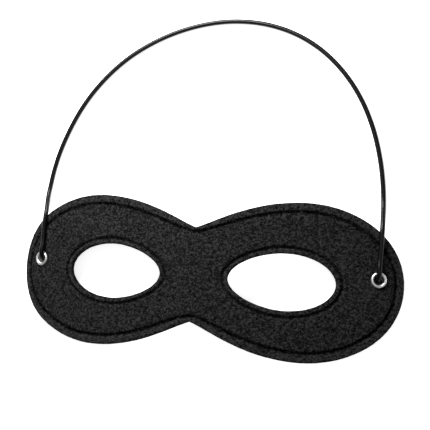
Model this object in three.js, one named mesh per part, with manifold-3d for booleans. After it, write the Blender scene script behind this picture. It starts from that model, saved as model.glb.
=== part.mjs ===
import * as THREE from "three";
import { mergeVertices } from "three/addons/utils/BufferGeometryUtils.js";
import Module from "manifold-3d";

// Domino mask of pressed felt with a round elastic cord, lying on its back.
// Millimetres. +X to the right as seen from the front, +Y to the brow, +Z out of the face side.
// The origin is on the floor under the middle of the nose.

// Felt cut, measured on the flat sheet: u runs from the nose line, v up from the middle
const HALF_LENGTH = 100;
const FELT_THICKNESS = 2.5;
const LOBE_TOP_FROM_NOSE = 52.4;
const LOBE_HALF_HEIGHT = 37.2;
const LOBE_SHOULDER = 25.9;
const BROW_NOTCH_HEIGHT = 22.8;
const NOSE_NOTCH_DEPTH = 22.1;
const NOTCH_RUN = 8.4;
const NOTCH_RISE = 2.5;
const OUTLINE_STEPS = 12;

// Slope of the sheet at shares of the half length: nose fold, cheek, temple and its curled end
const BENDS = [
  { share: 0, slopeDegrees: 0 },
  { share: 0.04, slopeDegrees: 4 },
  { share: 0.6, slopeDegrees: 12.6 },
  { share: 0.85, slopeDegrees: 12.4 },
  { share: 1, slopeDegrees: 31.5 },
];
const STRIP_WIDTH = 4;
// Depth by which each temple end is flattened where it rests
const END_FLATTENED = 0.4;

// Eye holes: egg-shaped, taller towards the temple
const EYE_FROM_NOSE = 42.3;
const EYE_BELOW_MIDDLE = 0.5;
const EYE_HALF_WIDTH = 25.4;
const EYE_HALF_HEIGHT = 13.3;
const EYE_ROUNDNESS = 1.9;
const EYE_EGG = 0.09;
const EYE_STEPS = 60;

// Grooves pressed into the face side
const GROOVE_WIDTH = 1.2;
const GROOVE_DEPTH = 0.8;
const GROOVE_FROM_EDGE = 4.5;
const GROOVE_FROM_EYE = 2.9;
const GROOVE_UNDER_BROW_NOTCH = 2.1;
const GROOVE_OVER_NOSE_NOTCH = 2.8;

// Rolled eyelets, one on each temple
const EYELET_FROM_END = 13;
const EYELET_ABOVE_MIDDLE = 3.3;
const EYELET_BORE_RADIUS = 2.2;
const EYELET_WALL = 0.3;
const EYELET_RIM_WIDTH = 1.5;
const EYELET_RIM_HEIGHT = 0.8;
const EYELET_FLANGE_WIDTH = 1.2;
const EYELET_FLANGE_THICKNESS = 0.45;
const ROUND_STEPS = 28;
const ROLL_STEPS = 6;

// Gap that neighbouring pieces keep
const SEAT_GAP = 0.3;
// Corners nearer than this are one corner
const MERGE_DISTANCE = 1e-4;

// Elastic cord and its stopper knots
const CORD_DIAMETER = 2.4;
const CORD_SIDES = 8;
const CORD_STEPS = 80;
const KNOT_RADIUS = 3;
const KNOT_NECK = 0.7;
const KNOT_TAIL = 6;
const KNOT_FLOOR_GAP = 0.2;
const KNOT_STEPS = 6;

// Cord out of the left and the right bore and down onto the sheet, in the sheet's own directions
// at the eyelet: inward to the nose, up towards the brow, height along the sheet's normal
const CORD_OFF_EYELETS = [
  [
    { inward: 0, up: -0.6, height: -2 },
    { inward: 0.4, up: 0, height: 0.35 },
    { inward: 0.9, up: 1.75, height: 2.2 },
    { inward: 1.45, up: 4.1, height: 2.8 },
    { inward: 1.5, up: 6.3, height: 2.25 },
    { inward: 1.1, up: 9, height: 1.65 },
    { inward: 0.85, up: 13, height: 1.55 },
    { inward: 0.95, up: 19, height: 1.55 },
  ],
  [
    { inward: 0, up: -0.6, height: -2 },
    { inward: 0.15, up: 0, height: 0.35 },
    { inward: 0.35, up: 1.75, height: 2.2 },
    { inward: 0.5, up: 4.1, height: 2.8 },
    { inward: 0.4, up: 6.3, height: 2.25 },
    { inward: 0.15, up: 9, height: 1.65 },
    { inward: 0, up: 13, height: 1.55 },
    { inward: -0.25, up: 19, height: 1.55 },
  ],
];
// Cord from the brow edge of the left temple down to the floor, round and up to the right one
const CORD_ON_FLOOR = [
  [-85.1, 26.1, 8.35],
  [-85.5, 29.5, 7],
  [-86.7, 33.9, 4.5],
  [-87.5, 37.8, 2.4],
  [-87.3, 42.2, 1.4],
  [-86.3, 49.1, 1.25],
  [-83.3, 60.9, 1.25],
  [-77.9, 74.6, 1.25],
  [-70.6, 87.9, 1.25],
  [-60.9, 100.2, 1.25],
  [-49.4, 110.7, 1.25],
  [-36.6, 118.8, 1.25],
  [-22.5, 124.9, 1.25],
  [-7.1, 128.8, 1.25],
  [8.2, 130, 1.25],
  [23.9, 128.2, 1.25],
  [38.8, 123.2, 1.25],
  [52.4, 114.9, 1.25],
  [63.9, 103.7, 1.25],
  [72.9, 90.6, 1.25],
  [79.6, 75.5, 1.25],
  [83.7, 60.2, 1.25],
  [85.5, 48.3, 1.25],
  [86, 41.9, 1.4],
  [86.2, 38, 2.3],
  [86.3, 34.1, 4.4],
  [86.4, 29.7, 6.8],
  [86.4, 26.3, 8.05],
];

const FELT_BLACK = { color: 0x222222, roughness: 0.95, metalness: 0 };
const EYELET_SILVER = { color: 0xe4e4e2, roughness: 0.22, metalness: 1 };
const CORD_BLACK = { color: 0x101010, roughness: 0.45, metalness: 0 };

const wasm = await Module();
wasm.setup();

const radians = THREE.MathUtils.degToRad;

// The sheet's slope at a distance from the nose line, in radians
function slopeAt(distance) {
  const end = BENDS.length - 1;
  const next = Math.max(1, BENDS.findIndex((bend) => bend.share * HALF_LENGTH >= distance));
  const from = BENDS[next - 1];
  const to = BENDS[next];
  if (distance > HALF_LENGTH) {
    return radians(BENDS[end].slopeDegrees);
  }
  const along = (distance / HALF_LENGTH - from.share) / (to.share - from.share);
  return radians(THREE.MathUtils.lerp(from.slopeDegrees, to.slopeDegrees, along));
}

// Point of the face side at a distance from the nose line: across in X, drop below the nose in Z
function faceSideAt(distance) {
  const steps = Math.max(1, Math.ceil(distance));
  const step = distance / steps;
  let across = 0;
  let drop = 0;
  for (let i = 0; i < steps; i++) {
    const slope = slopeAt((i + 0.5) * step);
    across += step * Math.cos(slope);
    drop += step * Math.sin(slope);
  }
  return { across, drop };
}

// Height of the face side at the nose, so that the flattened ends lie on the floor
const END_DROP = faceSideAt(HALF_LENGTH).drop + FELT_THICKNESS * Math.cos(slopeAt(HALF_LENGTH));
const NOSE_HEIGHT = END_DROP - END_FLATTENED;

// Place of a point of the flat sheet once it is bent, height being counted from the face side
function onSheet(u, v, height) {
  const side = Math.sign(u);
  const distance = Math.abs(u);
  const slope = slopeAt(distance);
  const { across, drop } = faceSideAt(distance);
  const x = side * (across + height * Math.sin(slope));
  return new THREE.Vector3(x, v, NOSE_HEIGHT - drop + height * Math.cos(slope));
}

function solidFrom(geometry) {
  const bare = geometry.clone();
  bare.deleteAttribute("normal");
  bare.deleteAttribute("uv");
  const merged = mergeVertices(bare, MERGE_DISTANCE);
  const corners = merged.index.array;
  const triangles = [];
  for (let i = 0; i < corners.length; i += 3) {
    const [a, b, c] = corners.slice(i, i + 3);
    // A triangle at a pole has two corners in one place
    if (a !== b && b !== c && c !== a) {
      triangles.push(a, b, c);
    }
  }
  return new wasm.Manifold(
    new wasm.Mesh({
      numProp: 3,
      vertProperties: new Float32Array(merged.attributes.position.array),
      triVerts: new Uint32Array(triangles),
    }),
  );
}

function geometryFrom(solid) {
  const { vertProperties, triVerts } = solid.getMesh();
  const geometry = new THREE.BufferGeometry();
  geometry.setAttribute("position", new THREE.BufferAttribute(vertProperties, 3));
  geometry.setIndex(new THREE.BufferAttribute(triVerts, 1));
  geometry.computeVertexNormals();
  return geometry;
}

// Closed shape through points, without the repeated point where two curves meet
function closedShape(points) {
  const last = points.length - 1;
  const kept = points.filter((point, i) => point.distanceTo(points[i === 0 ? last : i - 1]) > MERGE_DISTANCE);
  return new THREE.Shape(kept);
}

// Solid of a flat shape between two heights over the face side, bent with the sheet
function bentPrism(shape, low, high) {
  const prism = new THREE.ExtrudeGeometry(shape, { depth: high - low, bevelEnabled: false });
  const places = prism.attributes.position;
  for (let i = 0; i < places.count; i++) {
    const place = onSheet(places.getX(i), places.getY(i), places.getZ(i) + low);
    places.setXYZ(i, place.x, place.y, place.z);
  }
  return solidFrom(prism);
}

// Two-lobed outline, at a distance inside the cut edge
function lobedOutline({ inset, browInset, noseInset, notchRise }) {
  const top = LOBE_HALF_HEIGHT - inset;
  const brow = BROW_NOTCH_HEIGHT - browInset;
  const nose = NOSE_NOTCH_DEPTH - noseInset;
  const round = HALF_LENGTH - inset - LOBE_TOP_FROM_NOSE;
  const shoulder = LOBE_TOP_FROM_NOSE - LOBE_SHOULDER;
  const outline = new THREE.Shape();
  outline.moveTo(0, brow);
  outline.bezierCurveTo(NOTCH_RUN, brow + notchRise, shoulder, top, LOBE_TOP_FROM_NOSE, top);
  outline.absellipse(LOBE_TOP_FROM_NOSE, 0, round, top, Math.PI / 2, -Math.PI / 2, true);
  outline.bezierCurveTo(shoulder, -top, NOTCH_RUN, -nose - notchRise, 0, -nose);
  outline.bezierCurveTo(-NOTCH_RUN, -nose - notchRise, -shoulder, -top, -LOBE_TOP_FROM_NOSE, -top);
  outline.absellipse(-LOBE_TOP_FROM_NOSE, 0, round, top, -Math.PI / 2, Math.PI / 2, true);
  outline.bezierCurveTo(-shoulder, top, -NOTCH_RUN, brow + notchRise, 0, brow);
  return closedShape(outline.getPoints(OUTLINE_STEPS));
}

// Egg-shaped outline of an eye hole, at a distance outside its edge
function eyeOutline(side, outset) {
  const width = EYE_HALF_WIDTH + outset;
  const height = EYE_HALF_HEIGHT + outset;
  const power = 2 / EYE_ROUNDNESS;
  const points = [];
  for (let i = 0; i < EYE_STEPS; i++) {
    const turn = (2 * Math.PI * i) / EYE_STEPS;
    const across = Math.sign(Math.cos(turn)) * Math.abs(Math.cos(turn)) ** power;
    const up = Math.sign(Math.sin(turn)) * Math.abs(Math.sin(turn)) ** power;
    const u = side * (EYE_FROM_NOSE + width * across);
    points.push(new THREE.Vector2(u, height * up * (1 + EYE_EGG * across) - EYE_BELOW_MIDDLE));
  }
  return closedShape(points);
}

function roundShape(x, y, radius, sides) {
  const circle = new THREE.EllipseCurve(x, y, radius, radius);
  return closedShape(circle.getPoints(sides));
}

// The band between two outlines, as one shape with a hole
function bandBetween(outer, inner) {
  const band = outer.clone();
  band.holes.push(new THREE.Path(inner.getPoints().reverse()));
  return band;
}

// Sheet of felt with the temple wrap, wider than the cut all round
function bentSheet() {
  const margin = 2 * FELT_THICKNESS;
  const reach = HALF_LENGTH + margin;
  const strips = 2 * Math.ceil(reach / STRIP_WIDTH);
  const face = [];
  const back = [];
  for (let i = 0; i <= strips; i++) {
    const u = -reach + (2 * reach * i) / strips;
    const front = onSheet(u, 0, 0);
    const rear = onSheet(u, 0, -FELT_THICKNESS);
    face.push(new THREE.Vector2(front.x, front.z));
    back.unshift(new THREE.Vector2(rear.x, rear.z));
  }
  const sheet = new THREE.ExtrudeGeometry(new THREE.Shape([...face, ...back]), {
    depth: 2 * (LOBE_HALF_HEIGHT + margin),
    bevelEnabled: false,
  });
  sheet.translate(0, 0, -LOBE_HALF_HEIGHT - margin);
  sheet.rotateX(Math.PI / 2);
  return solidFrom(sheet);
}

function maskFelt() {
  const below = -2 * FELT_THICKNESS;
  // High enough that the flat top of the cut clears the arch between its ends
  const above = 2 * NOSE_HEIGHT;
  const edge = { inset: 0, browInset: 0, noseInset: 0, notchRise: NOTCH_RISE };
  const groove = (offset) =>
    lobedOutline({
      inset: GROOVE_FROM_EDGE + offset,
      browInset: GROOVE_UNDER_BROW_NOTCH + offset,
      noseInset: GROOVE_OVER_NOSE_NOTCH + offset,
      notchRise: 0,
    });
  const half = GROOVE_WIDTH / 2;
  let felt = bentSheet().intersect(bentPrism(lobedOutline(edge), below, above));
  felt = felt.subtract(bentPrism(bandBetween(groove(-half), groove(half)), -GROOVE_DEPTH, 1));
  for (const side of [-1, 1]) {
    felt = felt.subtract(bentPrism(eyeOutline(side, 0), below, FELT_THICKNESS));
    const outer = eyeOutline(side, GROOVE_FROM_EYE + half);
    const inner = eyeOutline(side, GROOVE_FROM_EYE - half);
    felt = felt.subtract(bentPrism(bandBetween(outer, inner), -GROOVE_DEPTH, 1));
    felt = felt.subtract(eyeletHole(side, below));
  }
  const floor = new THREE.BoxGeometry(4 * HALF_LENGTH, 4 * LOBE_HALF_HEIGHT, 4 * FELT_THICKNESS);
  floor.translate(0, 0, -2 * FELT_THICKNESS);
  return geometryFrom(felt.subtract(solidFrom(floor)));
}

function eyeletHole(side, below) {
  const radius = EYELET_BORE_RADIUS + EYELET_WALL + SEAT_GAP;
  const hole = roundShape(side * (HALF_LENGTH - EYELET_FROM_END), EYELET_ABOVE_MIDDLE, radius, ROUND_STEPS);
  return bentPrism(hole, below, FELT_THICKNESS);
}

// Rolled rim, barrel and back flange as one turned profile, its axis along the sheet's normal
function eyelet() {
  const bore = EYELET_BORE_RADIUS;
  const barrel = bore + EYELET_WALL;
  const flange = barrel + EYELET_FLANGE_WIDTH;
  const back = -FELT_THICKNESS - SEAT_GAP;
  const rimMiddle = bore + EYELET_RIM_WIDTH / 2;
  const profile = [new THREE.Vector2(bore, back - EYELET_FLANGE_THICKNESS)];
  profile.push(new THREE.Vector2(flange, back - EYELET_FLANGE_THICKNESS));
  profile.push(new THREE.Vector2(flange, back));
  profile.push(new THREE.Vector2(barrel, back));
  profile.push(new THREE.Vector2(barrel, SEAT_GAP));
  for (let i = 0; i <= ROLL_STEPS; i++) {
    const turn = (Math.PI * i) / ROLL_STEPS;
    const across = rimMiddle + (EYELET_RIM_WIDTH / 2) * Math.cos(turn);
    profile.push(new THREE.Vector2(across, SEAT_GAP + EYELET_RIM_HEIGHT * Math.sin(turn)));
  }
  profile.push(profile[0].clone());
  const turned = new THREE.LatheGeometry(profile, ROUND_STEPS);
  turned.rotateX(Math.PI / 2);
  return turned;
}

// Frame on the face side at an eyelet: X outward to the temple end, Z along the normal
function eyeletFrame(side) {
  const distance = HALF_LENGTH - EYELET_FROM_END;
  const frame = new THREE.Group();
  frame.position.copy(onSheet(side * distance, EYELET_ABOVE_MIDDLE, 0));
  frame.rotation.y = side * slopeAt(distance);
  return frame;
}

// Half the thickness of a flattened round lump that fills a depth over the floor, its axis tilted
function lumpHalfThickness(depth, radius, tilt) {
  const overhang = radius * Math.sin(tilt);
  return (depth * depth - overhang * overhang) / (2 * depth * Math.cos(tilt));
}

// Stopper knot under the flange: a flattened round lump, its neck in the bore and its short tail
function knot(side) {
  const distance = HALF_LENGTH - EYELET_FROM_END;
  const slope = slopeAt(distance);
  const flangeBack = -FELT_THICKNESS - SEAT_GAP - EYELET_FLANGE_THICKNESS;
  const top = flangeBack - SEAT_GAP;
  const topHeight = onSheet(distance, 0, 0).z + top * Math.cos(slope);
  const half = lumpHalfThickness(topHeight - KNOT_FLOOR_GAP, KNOT_RADIUS, slope);
  const middle = top - half;
  const profile = [];
  for (let i = 0; i <= KNOT_STEPS; i++) {
    const turn = Math.PI * (i / KNOT_STEPS - 0.5);
    const across = i % KNOT_STEPS === 0 ? 0 : KNOT_RADIUS * Math.cos(turn);
    profile.push(new THREE.Vector2(across, middle + half * Math.sin(turn)));
  }
  const lump = new THREE.LatheGeometry(profile, 2 * CORD_SIDES);
  lump.rotateX(Math.PI / 2);
  const strand = CORD_DIAMETER / 2;
  const neckLength = flangeBack + KNOT_NECK - middle;
  const neck = new THREE.CylinderGeometry(strand, strand, neckLength, CORD_SIDES);
  neck.rotateX(Math.PI / 2);
  neck.translate(0, 0, middle + neckLength / 2);
  const tail = new THREE.CylinderGeometry(strand, strand, KNOT_TAIL, CORD_SIDES);
  tail.rotateZ(Math.PI / 2);
  tail.translate(-side * KNOT_TAIL / 2, 0, middle);
  return geometryFrom(solidFrom(lump).add(solidFrom(neck)).add(solidFrom(tail)));
}

// Curve through chosen points whose steps follow the spacing of the points
class CordRoute extends THREE.CatmullRomCurve3 {
  getPointAt(share, target) {
    return this.getPoint(share, target);
  }
  getTangentAt(share, target) {
    return this.getTangent(share, target);
  }
}

function cordPoints() {
  const ends = [-1, 1].map((side, i) => {
    const frame = eyeletFrame(side);
    frame.updateMatrix();
    return CORD_OFF_EYELETS[i].map(({ inward, up, height }) =>
      new THREE.Vector3(-side * inward, up, height).applyMatrix4(frame.matrix),
    );
  });
  const floor = CORD_ON_FLOOR.map(([x, y, z]) => new THREE.Vector3(x, y, z));
  return [...ends[0], ...floor, ...ends[1].reverse()];
}

function elasticCord() {
  const section = roundShape(0, 0, CORD_DIAMETER / 2, CORD_SIDES);
  return new THREE.ExtrudeGeometry(section, {
    steps: CORD_STEPS,
    bevelEnabled: false,
    extrudePath: new CordRoute(cordPoints()),
  });
}

function named(name, geometry, finish) {
  const mesh = new THREE.Mesh(geometry, new THREE.MeshStandardMaterial(finish));
  mesh.name = name;
  return mesh;
}

const mask = new THREE.Group();
mask.add(named("mask_felt", maskFelt(), FELT_BLACK));
for (const [name, side] of [["left", -1], ["right", 1]]) {
  const frame = eyeletFrame(side);
  frame.add(named(`eyelet_${name}`, eyelet(), EYELET_SILVER));
  frame.add(named(`knot_${name}`, knot(side), CORD_BLACK));
  mask.add(frame);
}
mask.add(named("elastic_cord", elasticCord(), CORD_BLACK));

export default mask;
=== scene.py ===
"""Domino mask of black heathered felt, lying on its back with its elastic cord laid out behind it."""

import math
import random

import bmesh
import bpy
import numpy as np
from bpy.props import FloatProperty, FloatVectorProperty, IntProperty, PointerProperty
from mathutils import Matrix, Vector, geometry, noise
from mathutils.kdtree import KDTree


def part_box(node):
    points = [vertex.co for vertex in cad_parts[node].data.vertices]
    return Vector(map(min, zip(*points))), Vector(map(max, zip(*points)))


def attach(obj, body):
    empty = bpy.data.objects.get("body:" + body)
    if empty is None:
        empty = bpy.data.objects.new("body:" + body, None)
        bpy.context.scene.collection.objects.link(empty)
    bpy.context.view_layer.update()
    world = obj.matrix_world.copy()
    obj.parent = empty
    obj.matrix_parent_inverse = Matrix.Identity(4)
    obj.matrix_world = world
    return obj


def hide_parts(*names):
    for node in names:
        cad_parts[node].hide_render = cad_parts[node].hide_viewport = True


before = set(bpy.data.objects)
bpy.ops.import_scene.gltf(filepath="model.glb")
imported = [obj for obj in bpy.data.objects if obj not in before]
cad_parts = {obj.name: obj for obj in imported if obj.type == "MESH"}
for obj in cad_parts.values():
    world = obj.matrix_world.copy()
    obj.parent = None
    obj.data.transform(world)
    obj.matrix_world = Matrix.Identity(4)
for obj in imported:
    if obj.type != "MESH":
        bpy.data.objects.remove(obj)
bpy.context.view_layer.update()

bl_info = {
    "name": "Domino mask",
    "version": (1, 0, 0),
    "blender": (4, 5, 0),
    "location": "3D View > Sidebar > Domino Mask",
    "description": "Felt mask with pressed and stitched grooves, rolled eyelets and an elastic cord",
    "category": "Object",
}

MM = 0.001
SIDES = (("left", -1), ("right", 1))

# Slope of the sheet at shares of the half length: nose fold, cheek, temple and its curled end
BEND_SHARES = (0, 0.04, 0.6, 0.85, 1)
BEND_DEGREES = (0, 4, 12.6, 12.4, 31.5)

# Spacing of the felt's mesh along its outer cut and along the eye holes
OUTER_STEP = 0.5 * MM
EYE_STEP = 0.45 * MM
# Points of the finely drawn outlines: a lobe's quarter and an eye hole; and of an eyelet's hole
LOBE_POINTS = 400
EYE_POINTS = 1440
EYELET_HOLE_POINTS = 56

# Rows of the mesh across a groove, and over the rounded edges of the face side and the back
GROOVE_SHARES = (-1, -0.72, -0.48, -0.24, 0, 0.24, 0.48, 0.72, 1)
FACE_EDGE_TURNS = (0, 18, 38, 60, 90)
BACK_EDGE_TURNS = (0, 30, 60, 90)
# Share of the way from the cut edge to the groove, and how far the felt swells there
RIM_SWELL = ((0.18, 0.00004), (0.42, 0.00007), (0.66, 0.00006), (0.86, 0.00003))

# How dark the outer groove, the eye grooves, the cut edges and the cut walls are: painted shade, in the
# grooves partly pressed felt
OUTER_GROOVE_DARK = 0.9
EYE_GROOVE_DARK = 0.7
CUT_EDGE_SHADE = 0.7
CUT_WALL_SHADE = 0.6

# Loose fibres: seed of their random places, every which one lies on the back, their radius, and how
# far they keep from cuts, grooves and eyelets
FIBRE_SEED = 7
FIBRE_ON_BACK = 4
FIBRE_RADIUS = 0.00003
FIBRE_OFF_CUT = 0.0003
FIBRE_OFF_GROOVE = 0.0009
FIBRE_OFF_EYELET = 0.0042

# Spacing of the crossing ribs on the cord's cover
RIB_PITCH = 0.0011
# Steps between two points of a curve, and how often the line of the cord is smoothed
CURVE_STEPS = 24
SMOOTHING_PASSES = 60

# Floor distances from an eyelet between which the painted shade under it fades and the light from below
# comes back
SHADE_UNDER_EYELET = (0.004, 0.0105)

# Cord out of the left and the right bore and down onto the sheet, in the sheet's directions, in mm:
# inward to the nose, up towards the brow, height along the sheet's normal
CORD_OFF_EYELETS = (
    (
        (0, -0.6, -2), (0.4, 0, 0.35), (0.9, 1.75, 2.2), (1.45, 4.1, 2.8), (1.5, 6.3, 2.25),
        (1.1, 9, 1.65), (0.85, 13, 1.55), (0.95, 19, 1.55),
    ),
    (
        (0, -0.6, -2), (0.15, 0, 0.35), (0.35, 1.75, 2.2), (0.5, 4.1, 2.8), (0.4, 6.3, 2.25),
        (0.15, 9, 1.65), (0, 13, 1.55), (-0.25, 19, 1.55),
    ),
)
# Cord from the left temple's brow edge down to the floor, round and up to the right one, in mm
CORD_ON_FLOOR = (
    (-85.1, 26.1, 8.35), (-85.5, 29.5, 7), (-86.7, 33.9, 4.5), (-87.5, 37.8, 2.4), (-87.3, 42.2, 1.4),
    (-86.3, 49.1, 1.25), (-83.3, 60.9, 1.25), (-77.9, 74.6, 1.25), (-70.6, 87.9, 1.25),
    (-60.9, 100.2, 1.25), (-49.4, 110.7, 1.25), (-36.6, 118.8, 1.25), (-22.5, 124.9, 1.25),
    (-7.1, 128.8, 1.25), (8.2, 130, 1.25), (23.9, 128.2, 1.25), (38.8, 123.2, 1.25),
    (52.4, 114.9, 1.25), (63.9, 103.7, 1.25), (72.9, 90.6, 1.25), (79.6, 75.5, 1.25),
    (83.7, 60.2, 1.25), (85.5, 48.3, 1.25), (86, 41.9, 1.4), (86.2, 38, 2.3), (86.3, 34.1, 4.4),
    (86.4, 29.7, 6.8), (86.4, 26.3, 8.05),
)


def number(name, description, default, kind=FloatProperty, **settings):
    return kind(name=name, description=description, default=default, **settings)


def length(*words):
    return number(*words, min=0, unit="LENGTH", subtype="DISTANCE")


def colour(*words):
    return number(*words, FloatVectorProperty, size=3, min=0, max=1, subtype="COLOR")


def spot(*words):
    return number(*words, FloatVectorProperty, subtype="TRANSLATION", unit="LENGTH")


class FeltSizes(bpy.types.PropertyGroup):
    """Cut of the felt, measured on the flat sheet, and how its edges and grooves are rounded."""

    half_length: length("Half length", "Nose line to temple end", 0.1)
    thickness: length("Thickness", "Thickness of the felt", 0.0025)
    nose_height: length("Nose height", "Face side at the nose", round(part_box("mask_felt")[1].z, 6))
    lobe_top: length("Lobe top", "Nose line to the highest point of a lobe", 0.0524)
    lobe_height: length("Lobe half height", "Middle to the top of a lobe", 0.0372)
    lobe_shoulder: length("Lobe shoulder", "Straightness of a lobe's top towards the nose", 0.0259)
    brow_notch: length("Brow notch", "Middle to the bottom of the brow notch", 0.0228)
    nose_notch: length("Nose notch", "Middle to the bottom of the nose notch", 0.0221)
    notch_run: length("Notch run", "Reach of the notch's curve along the sheet", 0.0084)
    notch_rise: length("Notch rise", "Steepness of the cut at the notch", 0.0025)
    eye_from_nose: length("Eye from nose", "Nose line to the middle of an eye hole", 0.0423)
    eye_drop: length("Eye drop", "Eye hole's middle below the middle of the mask", 0.0005)
    eye_width: length("Eye half width", "Half the width of an eye hole", 0.0254)
    eye_height: length("Eye half height", "Half the height of an eye hole", 0.0133)
    eye_roundness: number("Eye roundness", "2 is an ellipse, less is more pointed", 1.9)
    eye_egg: number("Eye egg", "How much taller the hole is towards the temple", 0.09)
    groove_depth: length("Groove depth", "Depth of the pressed grooves", 0.0008)
    groove_width: length("Groove width", "Width of the pressed grooves, with their shoulders", 0.0021)
    groove_from_edge: length("Groove from edge", "Cut edge to the outer groove", 0.0045)
    groove_from_eye: length("Groove from eye", "Eye hole to its groove", 0.0029)
    groove_brow: length("Groove under brow notch", "Brow notch to the groove under it", 0.0021)
    groove_nose: length("Groove over nose notch", "Nose notch to the groove over it", 0.0028)
    edge_round: length("Edge rounding", "Rounding of the cut edge on the face side", 0.0008)
    back_round: length("Back rounding", "Rounding of the cut edge on the back", 0.00045)
    lumps: length("Lumps", "Unevenness of the felt's surface", 0.00007)
    grain: length("Grain", "Spacing of the face side's mesh", 0.00056)


class EyeletSizes(bpy.types.PropertyGroup):
    """Rolled eyelets at the temples."""

    from_end: length("From end", "Temple end to the eyelet's middle", 0.013)
    above_middle: length("Above middle", "Height of the eyelets over the mask's middle", 0.0033)
    bore: length("Bore radius", "Radius of the clear hole", 0.0022)
    wall: length("Wall", "Thickness of the barrel", 0.0003)
    rim_width: length("Rim width", "Width of the rolled rim", 0.0015)
    rim_height: length("Rim height", "Height of the rolled rim", 0.0008)
    flange_width: length("Flange width", "Width of the rolled flange on the back", 0.0012)
    flange_thickness: length("Flange thickness", "Thickness of the flange on the back", 0.00045)
    seat: length("Seat", "Height at which rim and flange stand off the felt", 0.0003)
    steps: number("Steps", "Faces round an eyelet", 64, IntProperty, min=12)


class CordSizes(bpy.types.PropertyGroup):
    """Round elastic cord, its stopper knots and the thread of the stitches."""

    diameter: length("Diameter", "Diameter of the elastic cord", 0.0024)
    sides: number("Sides", "Faces round the cord", 18, IntProperty, min=8)
    ring_step: length("Ring step", "Distance between the cord's rings", 0.00045)
    knot_radius: length("Knot radius", "Outer radius of a stopper knot", 0.003)
    knot_strand: length("Knot strand", "Radius of the cord where the knot pulls it tight", 0.00074)
    knot_tail: length("Knot tail", "Free end of the cord past the knot", 0.0062)
    stitch_length: length("Stitch length", "Length of one stitch", 0.0023)
    stitch_gap: length("Stitch gap", "Gap between two stitches", 0.0008)
    thread_radius: length("Thread radius", "Radius of the sewing thread", 0.0002)
    fibres: number("Fibres", "Loose fibres on the felt", 7000, IntProperty, min=0)


class MaskColours(bpy.types.PropertyGroup):
    """Colours of the mask's finishes and of the stage."""

    felt_dark: colour("Felt, dark", "Dark wool of the heathered felt", (0.0005, 0.0005, 0.00055))
    felt_light: colour("Felt, light", "Light wool of the heathered felt", (0.0455, 0.0455, 0.046))
    fibre: colour("Fibre", "Loose fibres on the felt", (0.04, 0.04, 0.041))
    cord: colour("Cord", "Woven cover of the elastic cord", (0.0016, 0.0016, 0.0018))
    thread: colour("Thread", "Sewing thread in the grooves", (0.0006, 0.0006, 0.00065))
    metal: colour("Metal", "Bright plated eyelets", (0.94, 0.94, 0.93))
    floor: colour("Floor", "Pale floor under the mask", (0.9, 0.9, 0.9))


class StageSettings(bpy.types.PropertyGroup):
    """Floor, studio lights and the camera at the photograph's angle."""

    floor_radius: length("Floor radius", "Radius of the round floor", 3.0)
    world_light: number("World", "Strength of the even light", 0.18)
    key_power: number("Key light", "Soft light from over the brow", 2.1, unit="POWER")
    key_size: length("Key size", "Width of the light over the brow", 0.16)
    key_place: spot("Key place", "Where the light over the brow stands", (-0.08, 0.24, 0.2))
    fill_power: number("Fill light", "Wide light from the camera's side", 1.05, unit="POWER")
    fill_size: length("Fill size", "Width of the light from the camera's side", 0.5)
    fill_place: spot("Fill place", "Where the wide light stands", (0.12, -0.02, 0.9))
    lit_spot: spot("Lit spot", "Point that both lights face", (0, 0.03, 0))
    floor_glow: number("Floor glow", "Strength of the light from under the pale table", 0.82)
    camera_place: spot("Camera place", "Where the camera stands", (0.09457, 0.00268, 0.34887))
    camera_target: spot("Camera target", "Point in the middle of the picture", (0.00648, 0.0298, 0.01))
    camera_roll: number(
        "Camera roll", "Turn of the camera round its line of sight", math.radians(-69.69), subtype="ANGLE"
    )
    lens: number("Lens", "Focal length in millimetres", 60.17)


class BentSheet:
    """Carries points of the flat cut onto the bent mask."""

    def __init__(self, felt):
        step = 0.05 * MM
        middles = np.arange(0.5 * step, felt.half_length + 5 * MM, step)
        self.half_length = felt.half_length
        self.nose_height = felt.nose_height
        slopes = self.slope(middles)
        self.distances = np.append(0, middles + 0.5 * step)
        self.across = np.append(0, np.cumsum(np.cos(slopes) * step))
        self.drop = np.append(0, np.cumsum(np.sin(slopes) * step))

    def slope(self, u):
        share = np.abs(u) / self.half_length
        return np.radians(np.interp(share, BEND_SHARES, BEND_DEGREES))

    def place(self, flat):
        """Row frame places of (u, v, height) rows; no place is under the floor."""
        u, v, height = np.asarray(flat, float).reshape(-1, 3).T
        distance, slope = np.abs(u), self.slope(u)
        across = np.interp(distance, self.distances, self.across)
        drop = np.interp(distance, self.distances, self.drop)
        x = np.sign(u) * (across + height * np.sin(slope))
        z = self.nose_height - drop + height * np.cos(slope)
        return np.stack([x, v, np.maximum(z, 0)], axis=1)

    def bend(self, bm):
        for vert, place in zip(bm.verts, self.place([vert.co for vert in bm.verts])):
            vert.co = place

    def eyelet_frame(self, eyelets, side):
        """Frame at an eyelet: Z along the sheet's normal, Y up to the brow."""
        u = self.half_length - eyelets.from_end
        centre = Vector(self.place([(side * u, eyelets.above_middle, 0)])[0])
        return Matrix.Translation(centre) @ Matrix.Rotation(side * float(self.slope(u)), 4, "Y")


def full_turn(steps):
    return np.arange(steps) * 2 * math.pi / steps


def cubic(a, b, c, d, share):
    share = share[:, None]
    rest = 1 - share
    a, b, c, d = (np.array(p, float) for p in (a, b, c, d))
    return rest**3 * a + 3 * rest**2 * share * b + 3 * rest * share**2 * c + share**3 * d


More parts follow.
